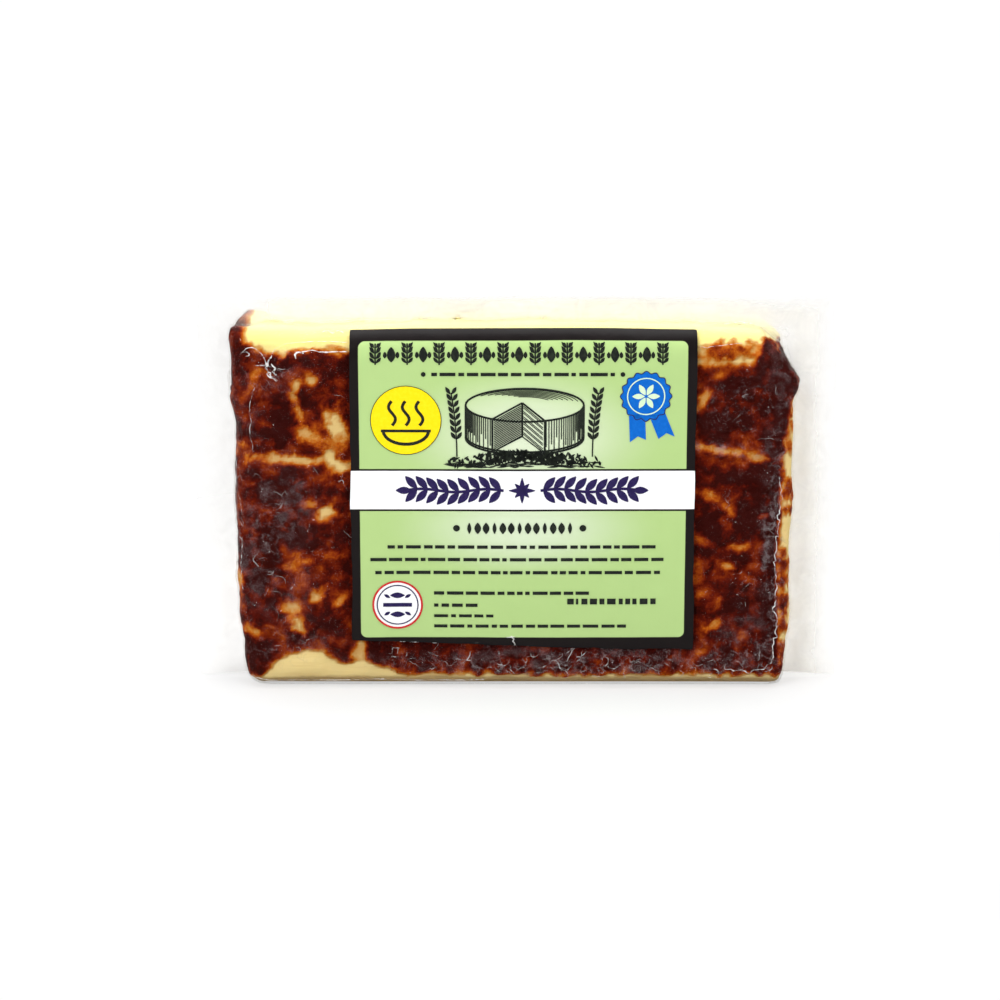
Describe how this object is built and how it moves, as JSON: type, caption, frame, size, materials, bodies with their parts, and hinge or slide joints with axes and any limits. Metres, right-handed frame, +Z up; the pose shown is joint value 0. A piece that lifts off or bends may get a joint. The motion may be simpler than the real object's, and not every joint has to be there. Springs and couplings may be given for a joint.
{
  "type": "vacuum-packed slab of bread cheese",
  "caption": "Flat slab of oven-browned bread cheese sealed in clear film with a thin seal flange round three sides and a square label wrapped over the top of its front.",
  "frame": {"origin": "on the table, under the middle of the whole pack", "axes": "+X to the right of the labelled front, along the pack's longest side; +Y through the slab to its back; +Z up"},
  "size_m": [0.1624, 0.0278, 0.0996],
  "materials": {
    "cheese_in_film": "dark browned cheese crust and pale cut cheese seen through tight glossy film",
    "label_paper": "semi-gloss printed label, pale green with a dark border",
    "clear_film": "clear, thin, glossy vacuum film with small wrinkles",
    "label_print": "flat printing ink"
  },
  "bodies": {
    "root": {"sealed_pouch": "cheese_in_film", "label": "label_paper"}
  },
  "joints": []
}
